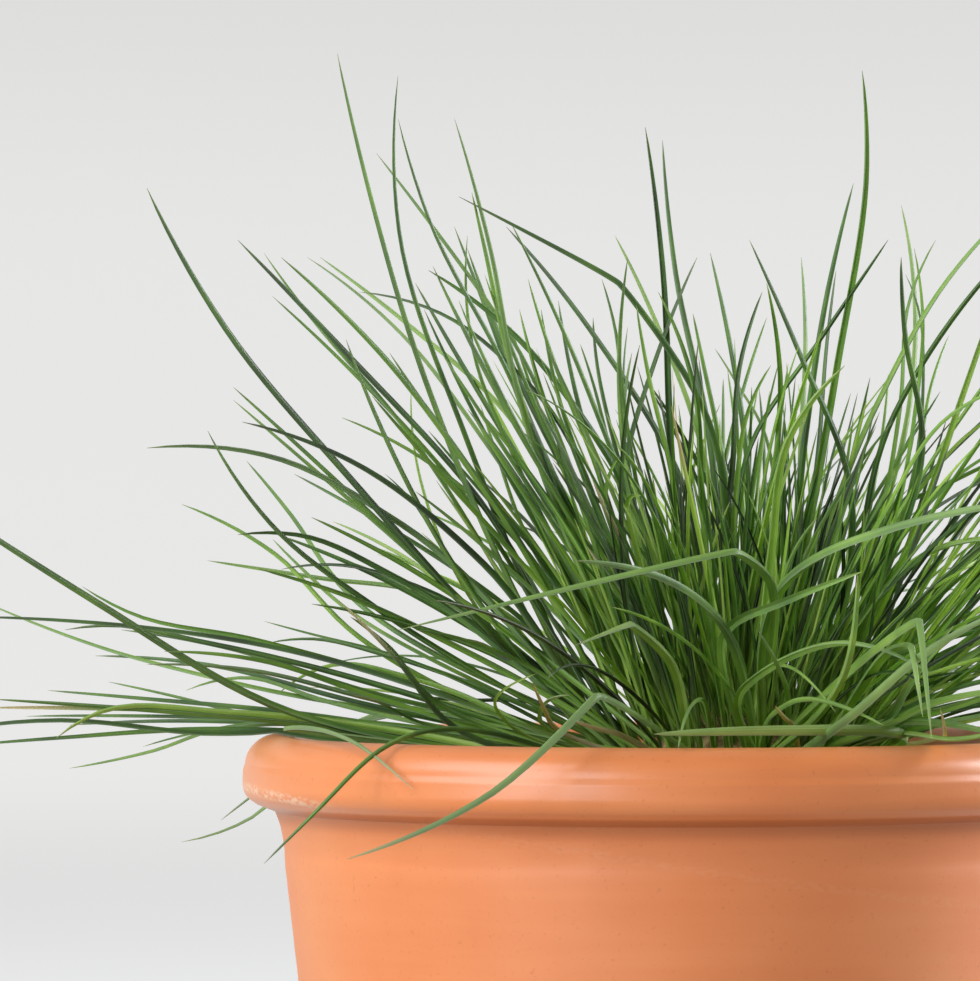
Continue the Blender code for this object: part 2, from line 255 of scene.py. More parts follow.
def earthenware():
    """Unglazed earthenware, moulded smooth and fired at a low heat.

    The eye sees a soft orange with faint level streaks from the turning, clouds of paler clay, fine
    specks, a bloom of lime low on the rim, painted shade in the groove under the rim, and a satin skin
    that spreads the light's reflection.
    """
    made, tree, shader, where = new_material("fired_earthenware")
    place = add_node(tree, "SeparateXYZ", {"Vector": where})
    across, height = place.outputs["X"], place.outputs["Z"]
    flat = add_node(tree, "Mapping", {"Vector": where, "Scale": (1.0, 1.0, 14.0)})
    clouds = add_node(tree, "TexNoise", {"Vector": where, "Scale": per_metre(55), "Detail": 3.0})
    streaks = add_node(tree, "TexNoise", {"Vector": flat, "Scale": per_metre(60), "Detail": 4.0})
    grain = add_node(tree, "TexNoise", {"Vector": where, "Scale": per_metre(1.1), "Detail": 4.0})
    uneven = add_node(tree, "Mix", {0: 0.28, 2: clouds, 3: streaks}, data_type="FLOAT")
    clay = add_node(tree, "ValToRGB", {"Fac": uneven}, stops=CLAY)
    few = {"Value": grain, "From Min": 0.62, "From Max": 0.78, "To Max": 0.35}
    specks = add_node(tree, "MapRange", few)
    speckled = add_node(tree, "Mix", {0: specks, 6: clay, 7: linear(CLAY_SPECK)}, data_type="RGBA")

    # The lime bloom: clustered flecks along a line that slopes down the rim from its left end
    leaning = {0: across, 1: LIME_SLOPE, 2: height}
    above_line = add_node(tree, "Math", leaning, operation="MULTIPLY_ADD")
    line = RIM_TOP - LIME_DROP - LIME_SLOPE * RIM_RADIUS
    level = add_node(tree, "Mapping", {"Vector": where, "Scale": (1.0, 1.0, 2.0)})
    flecks = add_node(tree, "TexNoise", {"Vector": level, "Scale": per_metre(1.7), "Detail": 6.0})
    clusters = add_node(tree, "TexNoise", {"Vector": level, "Scale": per_metre(14), "Detail": 2.0})
    crisp = {"Value": flecks, "From Min": 0.44, "From Max": 0.57, "To Max": 0.62}
    bloom = add_node(tree, "MapRange", crisp)
    for value, start, end, low, high in (
        (above_line, line - 1.7 * MM, line - 0.5 * MM, 0.0, 1.0),
        (above_line, line + 0.2 * MM, line + 1.6 * MM, 1.0, 0.0),
        (clusters, 0.26, 0.46, 0.0, 1.0),
        (across, -0.84 * RIM_RADIUS, -0.76 * RIM_RADIUS, 1.0, 0.1),
    ):
        limits = {"Value": value, "From Min": start, "From Max": end, "To Min": low, "To Max": high}
        share = add_node(tree, "MapRange", limits, **SOFT_ENDS)
        bloom = add_node(tree, "Math", {0: bloom, 1: share}, operation="MULTIPLY")
    limed = add_node(tree, "Mix", {0: bloom, 6: speckled, 7: linear(LIME_BLOOM)}, data_type="RGBA")

    # Painted shade in the groove under the rim: a darker, redder clay where the rim's overhang shades the
    # neck
    starts = {"From Min": RIM_TOP - 21.5 * MM, "From Max": RIM_TOP - 18 * MM, "To Max": 0.5}
    ends = {"From Min": RIM_TOP - 16.6 * MM, "From Max": RIM_TOP - 15.2 * MM, "To Min": 1.0, "To Max": 0.0}
    over = add_node(tree, "MapRange", {"Value": height, **starts}, **SOFT_ENDS)
    under = add_node(tree, "MapRange", {"Value": height, **ends}, **SOFT_ENDS)
    groove_shade = add_node(tree, "Math", {0: over, 1: under}, operation="MULTIPLY")
    groove_shaded = add_node(tree, "Mix", {0: groove_shade, 6: limed, 7: linear(GROOVE_SHADE)}, data_type="RGBA")

    # The rim, rubbed by the mould, is smoother than the wall
    rubbed = {"From Min": RIM_TOP - 20 * MM, "From Max": RIM_TOP - 16 * MM, "To Min": 0.42, "To Max": 0.26}
    smoother = add_node(tree, "MapRange", {"Value": height, **rubbed}, **SOFT_ENDS)
    skin = add_node(tree, "Math", {0: streaks, 1: 0.12, 2: smoother}, operation="MULTIPLY_ADD")
    pits = add_node(tree, "TexNoise", {"Vector": where, "Scale": per_metre(0.7), "Detail": 2.0})
    relief = add_node(tree, "Bump", {"Strength": 0.25, "Distance": 0.06 * MM, "Height": pits})
    finish = {"Base Color": groove_shaded, "Roughness": skin, "Normal": relief, "Specular IOR Level": 0.65}
    wire(tree, shader, finish)
    return made


pot_grid = turned_pot()
pot = surface("turned_pot", pot_grid, turned_faces(*pot_grid.shape[:2], closed=True), earthenware())
stand_for(pot, "terracotta", "terracotta_pot")

# The potting compost: loose bark and peat, filled to a finger's width under the rim and settled by
# watering into crumbs and small clods.
soil_low, soil_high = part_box("potting_soil")
COMPOST_COLOURS = [(0.3, "#2b1d14"), (0.62, "#5a4230"), (0.82, "#8a6b4c")]
CLOD = 9.0 * MM
CLOD_HEIGHT = 1.5 * MM
CRUMB = 2.4 * MM
CRUMB_HEIGHT = 0.8 * MM
SUNK_EDGE = 2.2 * MM
SUNK_TOP = 1.2 * MM
SOIL_RINGS = 90
SOIL_TURNS = 260


def compost_grid():
    """The plug: its side follows the pot, and its top is a flat dome roughened by clods and crumbs.

    The dome sinks as the fourth power of the way out, and its middle and edge stay smooth.
    """
    radius = soil_high.x
    taper = (SHOULDER_RADIUS - FOOT_RADIUS) / (RIM_TOP - SHOULDER_DROP)
    share = np.linspace(1, 0, SOIL_RINGS) ** 0.8
    top = np.column_stack([radius * share, soil_high.z - SUNK_EDGE * share**4 - SUNK_TOP])
    foot = radius - taper * (soil_high.z - soil_low.z)
    side = np.array([[0.0, soil_low.z], [foot * 0.5, soil_low.z], [foot, soil_low.z]])
    grid = turned_grid(np.vstack([side, top]), SOIL_TURNS)
    rough = lumps(grid, CLOD, 11, octaves=4) * CLOD_HEIGHT + np.abs(lumps(grid, CRUMB, 12)) * CRUMB_HEIGHT
    smooth = np.clip(np.minimum((1 - share) / 0.03, share / 0.05), 0, 1)
    grid[..., 2] += rough * np.concatenate([np.zeros(len(side)), smooth])
    return grid


def merge_poles(piece):
    """Joins the corners that meet on the axis, so that the surface is closed there."""
    shape = bmesh.new()
    shape.from_mesh(piece.data)
    bmesh.ops.remove_doubles(shape, verts=shape.verts, dist=0.002 * MM)
    shape.to_mesh(piece.data)
    shape.free()


def compost():
    """Moist potting compost, milled bark and peat: near black, with paler fibres and crumbs."""
    made, tree, shader, where = new_material("bark_compost")
    crumbs = add_node(tree, "TexVoronoi", {"Vector": where, "Scale": per_metre(2.0), "Randomness": 1.0})
    fibre = add_node(tree, "TexNoise", {"Vector": where, "Scale": per_metre(5), "Detail": 6.0})
    mixed = add_node(tree, "Mix", {0: 0.6, 2: crumbs.outputs["Color"], 3: fibre}, data_type="FLOAT")
    colour = add_node(tree, "ValToRGB", {"Fac": mixed}, stops=COMPOST_COLOURS)
    relief = add_node(tree, "Bump", {"Strength": 0.8, "Distance": 0.6 * MM, "Height": crumbs})
    wire(tree, shader, {"Base Color": colour, "Normal": relief, "Roughness": 0.9})
    return made


soil_grid = compost_grid()
soil = surface("compost_fill", soil_grid, turned_faces(*soil_grid.shape[:2], closed=False), compost())
merge_poles(soil)
stand_for(soil, "compost", "potting_soil")

# The crown: the knot of old shoot bases from which the whole clump grows, wrapped in dry straw
# coloured sheaths.
crown_low, crown_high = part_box("crown")
CROWN_RADIUS = 27.0 * MM
CROWN_CENTRE = np.array([(crown_low.x + crown_high.x) / 2, 0.0, crown_high.z - CROWN_RADIUS])
CROWN_RIBS = 46
RIB_DEPTH = 0.02
STRAW_COLOURS = [(0.35, "#6d5630"), (0.65, "#b39a62")]


def crown_grid():
    """A low dome, ribbed from foot to top by the sheaths that wrap it.

    The radius shrinks by a cosine of the angle, whose phase wanders, and by fine lumps.
    """
    start = np.arcsin((crown_low.z - CROWN_CENTRE[2]) / CROWN_RADIUS)
    rise = np.linspace(start, np.pi / 2, 40)
    foot = np.array([[0.0, crown_low.z]])
    dome = CROWN_RADIUS * np.column_stack([np.cos(rise), np.sin(rise)]) + [0.0, CROWN_CENTRE[2]]
    grid = turned_grid(np.vstack([foot, dome]), 240)
    angle = np.arctan2(grid[..., 1], grid[..., 0])
    ribs = 1 + np.cos(angle * CROWN_RIBS + 3 * np.sin(angle * 5))
    shrink = 1 - RIB_DEPTH * ribs + RIB_DEPTH * (lumps(grid, 6 * MM, 21) - 1)
    grid[..., :2] *= shrink[..., None]
    grid[..., 0] += CROWN_CENTRE[0]
    return grid


def dry_sheath():
    """Dead leaf sheaths, papery and matt: straw yellow with brown streaks along the fibres."""
    made, tree, shader, where = new_material("dry_sheath_straw")
    upright = add_node(tree, "Mapping", {"Vector": where, "Scale": (1.0, 1.0, 0.12)})
    fibres = add_node(tree, "TexNoise", {"Vector": upright, "Scale": per_metre(1.2), "Detail": 4.0})
    colour = add_node(tree, "ValToRGB", {"Fac": fibres}, stops=STRAW_COLOURS)
    relief = add_node(tree, "Bump", {"Strength": 0.6, "Distance": 0.3 * MM, "Height": fibres})
    wire(tree, shader, {"Base Color": colour, "Normal": relief, "Roughness": 0.8})
    return made


crown_points = crown_grid()
crown_faces = turned_faces(*crown_points.shape[:2], closed=False)
crown = surface("clump_crown", crown_points, crown_faces, dry_sheath())
merge_poles(crown)
stand_for(crown, "dry_sheath", "crown")

# The leaf tufts: bundles of shoots, each a few leaves folded lengthwise along a keel, stiff and
# tapering to a point. They stand up in the middle and arch out over the rim at the edge.
TUFTS = sorted(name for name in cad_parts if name.startswith("leaf_tuft_"))
LEAVES_IN_A_TUFT = 18
TRACED_IN_A_TUFT = 13
LEAF_STEPS = 34
ROOT_SPREAD = 6.0 * MM
ROOT_DEPTH = 1.5 * MM
UPWARD = np.array((0.0, 0.0, 1.0))
# A folded leaf's section, as shares of its width: the keel, then flank, margin and fold, and back
RIGHT_FLANK = [(0.27, -0.31), (0.45, 0.0), (0.50, 0.26)]
LEFT_FLANK = [(-0.50, 0.26), (-0.45, 0.0), (-0.27, -0.31)]
FOLD = np.array([(0, -0.44), *RIGHT_FLANK, (0, -0.06), *LEFT_FLANK])
MARGIN_SHARP = 48.0
FILLING_WIDTH = 1.15 * MM
MIDDLING_WIDTH = 1.68 * MM

# Where the photograph was taken from: level with the leaves' middles, well back with a long lens
CAMERA_DISTANCE = 2.0
CAMERA_OVER_RIM = 66 * MM

# Leaves that stand out in the photograph, placed from it in mm as they are seen at the depth of the
# pot's axis. Each row: tip right and up, the same for a point two thirds and one a third of the
# way up, all from the rim's top at the axis; how far the tip is behind the axis; width; shade, 0 deep
# to 9 fresh green.
WHOLE_LEAVES = [
    (-78, 157, -70, 123, -57, 80, -15, 1.4, 4),
    (-64, 152, -64, 117, -49, 70, 10, 1.8, 2),
    (-64, 142, -57, 119, -39, 84, -20, 1.5, 3),
    (-69, 134, -53, 113, -39, 93, 25, 1.5, 4),
    (-51, 142, -43, 113, -36, 77, -35, 1.8, 5),
    (-47, 125, -44, 112, -39, 89, -30, 2.0, 7),
    (-51, 117, -44, 99, -34, 72, 30, 1.3, 3),
    (-48, 115, -47, 90, -36, 61, 15, 1.3, 5),
    (-57, 107, -39, 94, -18, 68, 5, 2.0, 3),
    (-73, 102, -54, 97, -34, 81, 20, 1.3, 1),
    (-85, 110, -64, 93, -43, 66, 70, 1.5, 6),
    (-82, 110, -61, 94, -39, 74, 60, 1.5, 7),
    (-101, 114, -75, 87, -46, 55, -5, 2.0, 1),
    (-95, 111, -84, 96, -66, 75, 10, 1.3, 5),
    (-91, 110, -69, 89, -41, 52, -25, 2.0, 5),
    (-93, 101, -75, 84, -52, 59, 15, 1.5, 4),
    (-76, 91, -68, 71, -53, 42, -20, 1.5, 4),
    (-77, 73, -59, 64, -36, 44, 0, 1.5, 5),
    (-122, 126, -104, 94, -75, 59, -30, 2.3, 1),
    (-102, 80, -81, 61, -52, 33, -5, 1.5, 4),
    (-102, 77, -87, 64, -57, 38, 5, 1.8, 6),
    (-100, 72, -75, 63, -45, 40, -35, 2.3, 0),
    (-108, 70, -93, 48, -69, 29, -40, 1.8, 3),
    (-122, 66, -93, 64, -64, 49, -10, 1.8, 3),
    (-99, 63, -89, 51, -76, 33, 50, 1.3, 4),
    (-61, 80, -60, 64, -54, 44, 20, 1.0, 9),
    (-48, 75, -37, 60, -24, 38, 0, 1.3, 4),
    (-45, 76, -41, 64, -34, 45, 30, 1.0, 5),
    (-39, 117, -18, 91, 3, 54, 20, 1.8, 1),
    (-38, 118, -26, 93, -15, 66, -10, 1.8, 4),
    (-34, 105, -28, 86, -18, 61, -15, 1.3, 5),
    (-30, 90, -23, 75, -13, 52, -20, 1.3, 5),
    (-22, 90, -19, 81, -12, 54, 35, 1.0, 4),
    (-19, 96, -18, 85, -12, 59, 30, 1.3, 3),
    (-17, 105, -14, 94, -12, 77, 5, 1.3, 4),
    (-11, 110, -13, 89, -11, 59, -30, 1.8, 5),
    (-14, 115, -5, 96, 6, 66, 70, 1.3, 8),
    (-11, 94, -12, 77, -8, 54, 40, 1.0, 2),
    (-10, 88, -12, 70, -9, 49, 10, 1.3, 5),
    (-9, 99, -6, 82, -1, 61, -35, 1.3, 6),
    (-7, 140, -3, 107, -1, 66, -20, 1.8, 1),
    (-3, 137, 0, 107, 8, 68, 25, 1.8, 2),
    (-4, 102, 4, 81, 6, 54, -40, 1.8, 5),
    (5, 110, -5, 85, -12, 59, -15, 1.3, 1),
    (4, 97, 6, 87, 10, 68, 35, 1.3, 4),
    (8, 111, 12, 93, 16, 68, 20, 1.5, 3),
    (9, 89, 14, 81, 21, 68, 60, 0.8, 5),
    (11, 82, 11, 68, 11, 47, 45, 1.0, 4),
    (17, 114, 29, 87, 40, 59, -25, 1.8, 2),
    (21, 104, 24, 84, 23, 59, -40, 1.5, 6),
    (20, 102, 15, 86, 13, 61, -5, 1.5, 1),
    (21, 96, 16, 81, 11, 61, 30, 1.0, 5),
    (22, 85, 17, 75, 14, 56, -20, 1.3, 6),
    (29, 110, 30, 91, 29, 68, 30, 1.3, 6),
    (41, 127, 35, 102, 30, 70, 15, 2.0, 3),
    (43, 153, 44, 132, 37, 84, -30, 2.0, 5),
    (37, 107, 35, 91, 33, 66, 5, 1.5, 2),
    (49, 114, 34, 92, 18, 68, -15, 1.5, 2),
    (52, 122, 55, 102, 54, 77, 60, 1.3, 7),
    (52, 110, 53, 92, 57, 66, -60, 1.8, 2),
    (55, 112, 57, 97, 55, 72, -10, 1.5, 5),
    (53, 106, 56, 98, 57, 77, 20, 1.0, 3),
    (60, 114, 54, 100, 52, 77, 15, 1.5, 5),
    (83, 126, 63, 105, 47, 77, -20, 2.0, 6),
    (86, 120, 67, 100, 51, 75, -5, 1.8, 2),
    (63, 92, 59, 81, 55, 59, 35, 1.0, 6),
    (49, 83, 48, 72, 45, 54, 30, 1.0, 6),
    (61, 79, 53, 66, 40, 45, 10, 1.3, 4),
    (76, 107, 66, 78, 57, 52, -45, 2.0, 9),
    (86, 83, 64, 74, 47, 49, -65, 1.5, 6),
    (39, 85, 27, 70, 22, 42, -95, 2.3, 8),
    (41, 73, 39, 59, 37, 40, 20, 1.0, 5),
    (92, 55, 51.7, 48, 26.3, 36, -120, 2.8, 5),
    (93, 42, 61, 43, 45, 29, -50, 2.3, 7),
    (89, 49, 66, 39, 52, 27, 10, 1.3, 3),
    (93, 31, 69, 28, 52, 19, 0, 1.5, 4),
    (98, 22, 70, 22, 52, 12, -10, 1.8, 3),
    (98, 27, 68, 24, 52, 16, 25, 1.5, 2),
    (85, 77, 70, 71, 56, 56, 20, 1.3, 6),
    (86, 70, 67, 61, 52, 45, 5, 1.3, 5),
    (84, 68, 63, 58, 45, 49, 15, 1.3, 4),
    (-22.8, 40, -7, 37.5, 9, 27.5, -115, 2.6, 4),
    (43, 37.5, 26, 31, 12, 24, -95, 2.3, 5),
    (59, 14, 40, 21, 16, 11, -105, 2.0, 6),
    (48, 2, 33, 8, 23, 5, -97, 1.5, 6),
    (37, 5, 29, 14, 22, 15, -88, 1.0, 7),
    (-5, 0, 24, 1, 52, 0, -96, 3.2, 7),
    (-178, 59, -133, 30, -94, 7, -55, 2.8, 3),
    (-137, 34, -126, 28, -98, 22, 10, 1.3, 5),
    (-114, 53, -93, 42, -75, 24, 35, 1.5, 6),
    (-108, 40, -82, 36, -57, 32, 55, 1.5, 6),
    (-101, 46, -87, 46, -64, 36, -15, 1.8, 2),
    (-93, 45, -86, 38, -76, 29, 45, 1.0, 5),
    (-91, 38, -78, 39, -57, 33, 15, 1.3, 1),
    (-79, 49, -68, 44, -57, 37, 65, 1.0, 8),
    (-161, 31, -133, 20, -103, 12, 45, 1.3, 6),
    (-164, 27, -139, 26, -98, 21, -10, 1.5, 1),
    (-141, 24, -131, 25, -108, 21, 0, 1.5, 2),
    (-95, 26, -84, 23, -68, 19, 5, 1.0, 3),
    (-94, 21, -84, 22, -66, 18, 15, 1.0, 3),
    (-145, 10, -121, 8, -89, 5, 10, 1.5, 3),
    (-131, 12, -117, 9, -101, 5, 25, 1.0, 4),
    (-113, 10, -99, 13, -82, 8, 20, 1.3, 5),
    (-186, -4, -142, 3, -112, 0, -15, 2.0, 2),
    (-167, -3, -142, -1, -112, 1, -5, 1.8, 3),
    (-123, -3, -116, -1, -101, 2, 15, 1.0, 4),
    (-140, -8, -121, -4, -106, 1, 60, 1.0, 6),
    (-118, 19, -96, 17, -71, 9, -30, 1.8, 5),
    (-92, 9, -79, 16, -61, 13, 30, 1.3, 6),
    (-63, 9, -52, 8, -31, 7, 10, 0.8, 1),
    (-75, 27, -66, 20, -56, 8, -60, 1.5, 4),
    (-67, 60, -61, 54, -52, 40, 5, 1.0, 1),
    (-60, 56, -51, 49, -36, 36, -5, 1.3, 4),
    (-8, 55, -11, 53, -7, 36, -55, 1.5, 8),
    (-32, 14, -41, 9, -38, 2, -80, 1.0, 9),
    (-13, 64, -16, 56, -12, 40, -30, 1.5, 7),
    (42, 37, 40.6, 20.6, 35.7, 8, -118, 2.4, 7),
    (76, 29, 60, 20.5, 42, 5.6, -150, 2.6, 5),
    (89, 15, 66, 7, 52, 3, -92, 2.0, 5),
    (84, 3, 66, -1, 52, 0, -95, 1.8, 8),
    (0.6, -3.6, 2.2, 3.5, 6, 8, -98, 1.3, 6),
    (-24.5, 9, -29, 8, -31, 3, -84, 1.2, 8),
    (19, 24, 24, 15, 26, 6, -90, 1.5, 5),
    (64, 25, 55, 13, 49, 3, -95, 2.2, 4),
    (82, 11, 62, 8, 48, 2, -92, 2.4, 6),
    (90, 14, 70, 12, 50, 4, -60, 1.8, 2),
    (92, 8, 72, 7, 52, 2, -30, 1.6, 2),
    (90, 20, 72, 16, 50, 6, -20, 1.6, 3),
    (88, 5, 72, 5, 56, 1, 20, 1.6, 4),
    (84, 26, 68, 18, 50, 5, 40, 1.4, 5),
    (84, 8, 70, 4, 54, 1.5, -90, 2.6, 5),
    (78, -1, 66, 2, 50, 3, -94, 2.2, 4),
    (-58, 98, -48, 77, -32, 48, 25, 1.5, 2),
    (-54, 88, -41, 68, -24, 42, -10, 1.6, 5),
    (-43, 100, -37, 80, -24, 50, 30, 1.5, 4),
    (-40, 90, -32, 69, -19, 41, 5, 1.5, 3),
    (-36, 98, -30, 76, -18, 46, -25, 1.6, 6),
    (-27, 100, -23, 79, -14, 49, 20, 1.4, 2),
    (-46, 72, -36, 57, -22, 36, -5, 1.5, 6),
    (-66, 88, -53, 69, -34, 44, 15, 1.6, 3),
    (-70, 78, -56, 62, -36, 40, -30, 1.6, 5),
    (-57, 70, -45, 56, -27, 36, 30, 1.4, 2),
    (-88, 60, -70, 50, -45, 34, 20, 1.5, 3),
    (-84, 30, -68, 27, -46, 20, -20, 1.6, 4),
    (-66, 34, -54, 31, -36, 22, 10, 1.5, 2),
    (-60, 24, -50, 22, -33, 15, -35, 1.6, 5),
    (-72, 44, -58, 38, -38, 27, 40, 1.4, 6),
    (-48, 112, -38, 86, -20, 50, 20, 1.5, 3),
    (-44, 106, -35, 82, -19, 48, -15, 1.6, 5),
    (-56, 108, -44, 84, -24, 50, 5, 1.6, 4),
    (-60, 104, -46, 80, -26, 48, 35, 1.5, 2),
    (-31, 98, -27, 78, -17, 50, -5, 1.5, 4),
    (-38, 94, -31, 74, -18, 46, 15, 1.6, 6),
    (-50, 100, -39, 76, -22, 46, -28, 1.7, 5),
    (-92, 46, -72, 38, -46, 24, 15, 1.6, 3),
    (-84, 50, -66, 41, -42, 26, -10, 1.6, 4),
    (-76, 40, -60, 33, -38, 20, 30, 1.5, 2),
    (-96, 38, -76, 32, -50, 20, -25, 1.6, 5),
    (-128, 24, -104, 20, -72, 10, 15, 1.5, 3),
    (-122, 16, -100, 15, -70, 8, -20, 1.5, 4),
    (-134, 18, -108, 16, -76, 8, 30, 1.4, 2),
    (-150, 4, -122, 4, -88, 3, 20, 1.6, 3),
    (-158, 8, -128, 6, -92, 3, -15, 1.7, 4),
    (-140, 2, -116, 3, -84, 2, 40, 1.5, 2),
    (-143, -1, -133, 5, -103, 5, -20, 2.0, 8),
]
# Leaves broken or sharply bent at their upper point
BENT_LEAVES = [
    (-50, 124, -13, 104, 6, 76, -30, 2.3, 2),
    (-64, 24, 14, 42, 22, 35, -125, 2.3, 5),
    (59, -1, 56.0, 26, 47, 20, -165, 2.6, 6),
    (57, 4, 54.5, 20, 49, 19, -140, 2.4, 6),
    (-23, 20.5, -10.5, 25.3, -1, 16.5, -100, 2.5, 7),
    (31.4, 77, 22.1, 50, 22.4, 31, -72, 2.0, 10),
]
# Leaves that lie on the rim, are bent sharply there at their lower point and hang down outside
FOLDED_LEAVES = [
    (-60.7, -12.7, -71, -4, -90, 1.2, -84, 1.5, 6),
    (-76, -29, -44, -14.6, -18.4, 8.7, -130, 2.2, 6),
]
# Leaves that hang down outside the rim
HANGING_LEAVES = [
    (-95, -30, -83, -18, -70, -5, -84, 1.4, 3),
    (-114, -25, -99, -20, -80, -1, 80, 1.5, 5),
    (-105, -20, -96, -13, -78, 0, 62, 1.3, 4),
]
# Old leaves and stubs near the rim, dried to straw over most of their length
STRAW_LEAVES = [
    (-23.8, 3.1, -18.5, 1.4, -13, -0.2, -86, 2.0, 5),
    (-33, 12, -30.5, 6.5, -27, 1, -82, 1.4, 5),
    (23, 6.5, 25, 4, 27, 2, -88, 1.6, 5),
    (61, 6, 62, 0.5, 60, -1, -90, 1.4, 5),
]
# Leaves that have dried to straw from their tip
DRY_TIPPED_LEAVES = [
    (-159, 6, -135, 6, -103, 5, 15, 1.8, 3),
    (-75, 9, -68, 7, -60, 3, -35, 1.0, 5),
    (-78, 31, -66, 19, -53, 3, -75, 2.0, 2),
    (-51, 22, -45, 21, -36, 15, -15, 1.0, 0),
]


def unit(vectors):
    """The vectors at length one."""
    return vectors / np.maximum(np.linalg.norm(vectors, axis=-1, keepdims=True), 1e-12)


FOOT_THICKNESS = 3.0 * MM


def tuft_base(name):
    """Where a tuft stands on the crown and which way it faces, read from its solid's foot."""
    corners = np.array([corner.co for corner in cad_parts[name].data.vertices])
    away = np.linalg.norm(corners - CROWN_CENTRE, axis=1)
    foot = corners[away < CROWN_RADIUS + FOOT_THICKNESS].mean(axis=0)
    return foot, unit(foot - CROWN_CENTRE)


def as_seen(right, up, behind):
    """The point in space that is seen there, this far behind the axis, along the camera's rays."""
    nearer = (CAMERA_DISTANCE + behind) / CAMERA_DISTANCE
    height = RIM_TOP + CAMERA_OVER_RIM + (up - CAMERA_OVER_RIM) * nearer
    return np.stack([right * nearer, behind, height], axis=-1)


def through(points, launch, bend):
    """A smooth line for each leaf through its root and three further points.

    The pieces between the points are Hermite cubics. A piece leaves the root along the launch
    direction; at each further point the tangent is the two chords' directions, each weighed by the
    other's length. Where the leaf is bent, at the lower or the upper point, the tangent is short.
    """
    chords = np.diff(points, axis=1)
    length = np.linalg.norm(chords, axis=-1, keepdims=True)
    chords = chords / length
    weighed = length[:, 1:] * chords[:, :-1] + length[:, :-1] * chords[:, 1:]
    middle = weighed / (length[:, 1:] + length[:, :-1]) * bend[..., None]
    end = 2 * chords[:, 2] - middle[:, 1]
    tangents = np.concatenate([launch[:, None], middle, end[:, None]], axis=1)
    knots = np.concatenate([np.zeros((len(points), 1)), np.cumsum(length[..., 0], axis=1)], axis=1)
    place = np.linspace(0, 1, LEAF_STEPS)[None] * knots[:, -1:]
    piece = (place[..., None] >= knots[:, None, 1:3]).sum(-1)
    row = np.arange(len(points))[:, None]
    span = length[row, piece]
    share = (place - knots[row, piece])[..., None] / span
    return (
        (2 * share**3 - 3 * share**2 + 1) * points[row, piece]
        + (share**3 - 2 * share**2 + share) * span * tangents[row, piece]
        + (3 * share**2 - 2 * share**3) * points[row, piece + 1]
        + (share**3 - share**2) * span * tangents[row, piece + 1]
    )


# The rolled rim as the leaves meet it, and how far a leaf's line stays over what the leaf lies on
RIM_ROLL = 9.0 * MM
RIM_WIDTH = 17.0 * MM
INNER_ROLL_DROP = 6.0 * MM
OVER_THE_RIM = 0.9 * MM
OVER_THE_COMPOST = 1.5 * MM
LIFT_SPREADS = 6
LIFT_PASSED_ON = 0.46
LIFT_PASSED_TO_TIP = 0.9


def lay_over_rim(lines):
    """Lifts what would pass through the rolled rim or the compost until it lies on it.

    Over the rim the lowest height is the roll's own arc. The lift is then spread along the leaf.
    """
    radius = np.hypot(lines[..., 0], lines[..., 1])
    across = np.clip((radius - (RIM_RADIUS - RIM_ROLL)) / RIM_ROLL, -1, 1)
    roll_top = RIM_TOP - RIM_ROLL + RIM_ROLL * np.sqrt(1 - across**2)
    inside = radius <= RIM_RADIUS - RIM_WIDTH
    on_rim = ~inside & (radius < RIM_RADIUS + 0.5 * MM)
    on_roll = np.maximum(roll_top, RIM_TOP - INNER_ROLL_DROP) + OVER_THE_RIM
    lowest = np.select([inside, on_rim], [soil_high.z + OVER_THE_COMPOST, on_roll], 0.0)
    lift = np.maximum(lowest - lines[..., 2], 0)
    for _ in range(LIFT_SPREADS):
        spread = lift.copy()
        spread[:, 1:-1] = np.maximum(lift[:, 1:-1], (lift[:, :-2] + lift[:, 2:]) * LIFT_PASSED_ON)
        spread[:, -1] = np.maximum(lift[:, -1], lift[:, -2] * LIFT_PASSED_TO_TIP)
        lift = spread
    return lines + lift[..., None] * UPWARD


SHEATH_WIDTH = 0.45
SHEATH_END = 0.35
THINNED = 0.40
POINT_WIDTH = 0.05


def folded_leaves(lines, width, turn, twist):
    """The corners of each leaf: its fold carried along its line, turned, twisted and tapered.

    The width grows in proportion over the sheath, thins by a power of the way along, and runs out
    to a blunt point. The fold opens upwards, on the side of the leaf that faces the clump's middle.
    """
    along = unit(np.gradient(lines, axis=1))
    heading = lines[:, -1] - lines[:, 0]
    level = unit(np.stack([-heading[:, 1], heading[:, 0], np.zeros(len(heading))], axis=-1))
    across = unit(level[:, None] - (level[:, None] * along).sum(-1, keepdims=True) * along)
    inward = np.cross(across, along)
    share = np.linspace(0, 1, LEAF_STEPS)
    angle = (turn[:, None] + twist[:, None] * share)[..., None]
    turned_across = across * np.cos(angle) + inward * np.sin(angle)
    turned_inward = inward * np.cos(angle) - across * np.sin(angle)
    sheathed = SHEATH_WIDTH + (1 - SHEATH_WIDTH) * np.minimum(share / SHEATH_END, 1)
    taper = sheathed * (1 - THINNED * share**1.3) * (1 - share**9) ** 0.6 + POINT_WIDTH
    size = (width[:, None] * taper)[..., None, None]
    return (
        lines[:, :, None]
        + turned_across[:, :, None] * FOLD[:, :1] * size
        + turned_inward[:, :, None] * FOLD[:, 1:] * size
    )


def leaf_faces(count):
    """Faces of this many leaves: the fold's sides from step to step, and a cap at each end."""
    sides = len(FOLD)
    step, side = np.meshgrid(np.arange(LEAF_STEPS - 1), np.arange(sides), indexing="ij")
    here, after = step * sides + side, step * sides + (side + 1) % sides
    one = np.stack([here, after, after + sides, here + sides], axis=-1).reshape(-1, 4)
    cap = np.array([[4, 3, 2, 1], [4, 1, 0, 7], [4, 7, 6, 5]])
    tip_cap = (LEAF_STEPS - 1) * sides + cap[:, ::-1]
    first = np.arange(count)[:, None, None] * LEAF_STEPS * sides
    return (np.vstack([one, cap, tip_cap]) + first).reshape(-1, 4).tolist()


